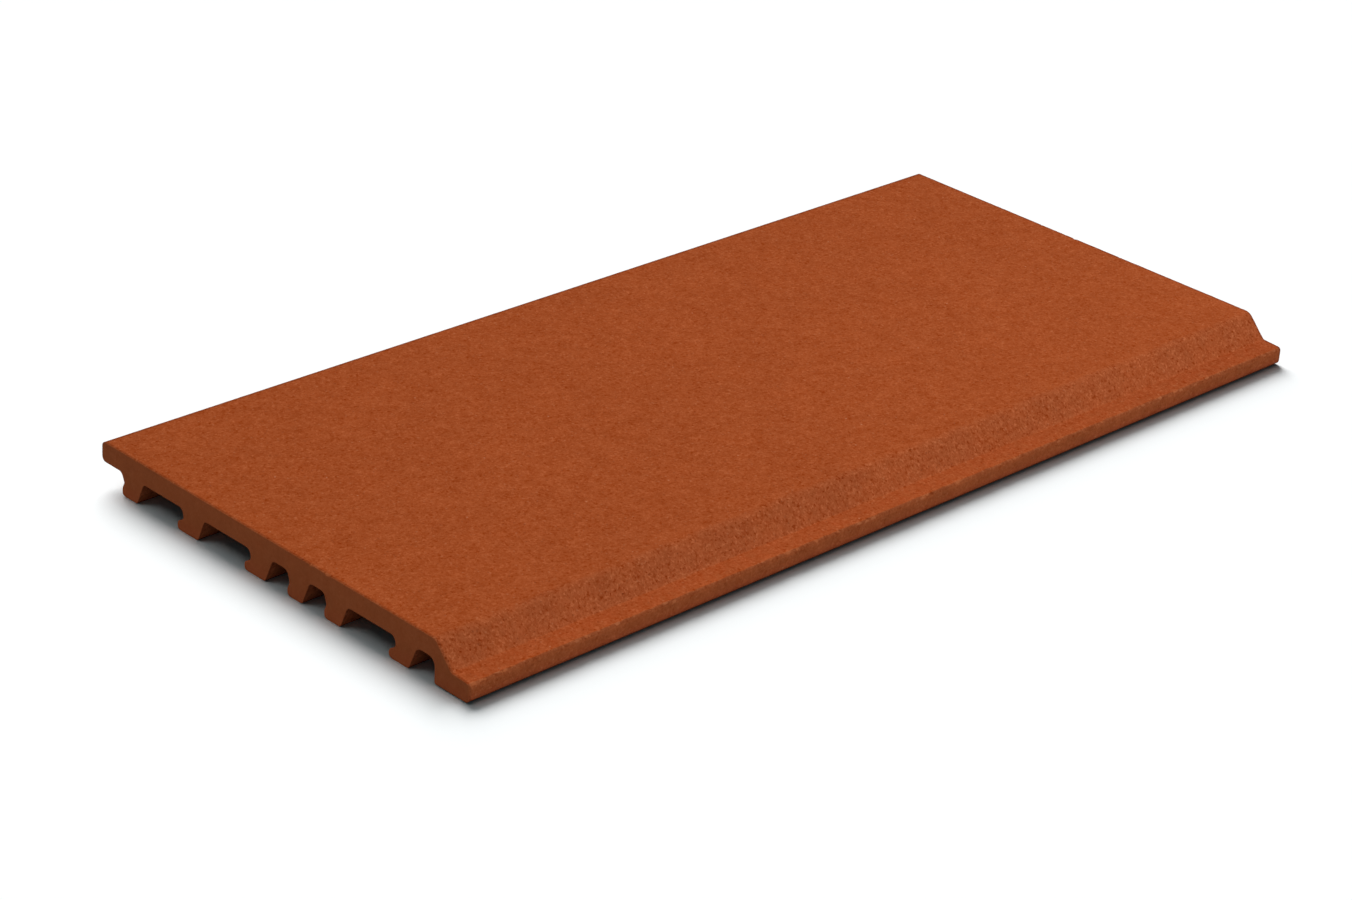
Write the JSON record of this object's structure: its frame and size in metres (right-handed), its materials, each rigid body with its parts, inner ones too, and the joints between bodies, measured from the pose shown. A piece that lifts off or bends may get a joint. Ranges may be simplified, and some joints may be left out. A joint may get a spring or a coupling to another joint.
{
  "type": "terracotta facade panel",
  "caption": "Flat ribbed clay cladding panel with an overhanging drip edge, a sloped step down to a lip, and hooked clip channels along its back.",
  "frame": {"origin": "centre of the bounding box at the level of the rib feet, which the panel lies on", "axes": "+X along the extrusion, +Y towards the drip edge, -Y towards the stepped lip, +Z out of the weather face"},
  "size_m": [0.76, 0.35, 0.03],
  "materials": {
    "terracotta": "matte, fine-sanded fired clay"
  },
  "bodies": {
    "root": {"facade_panel": "terracotta"}
  },
  "joints": []
}
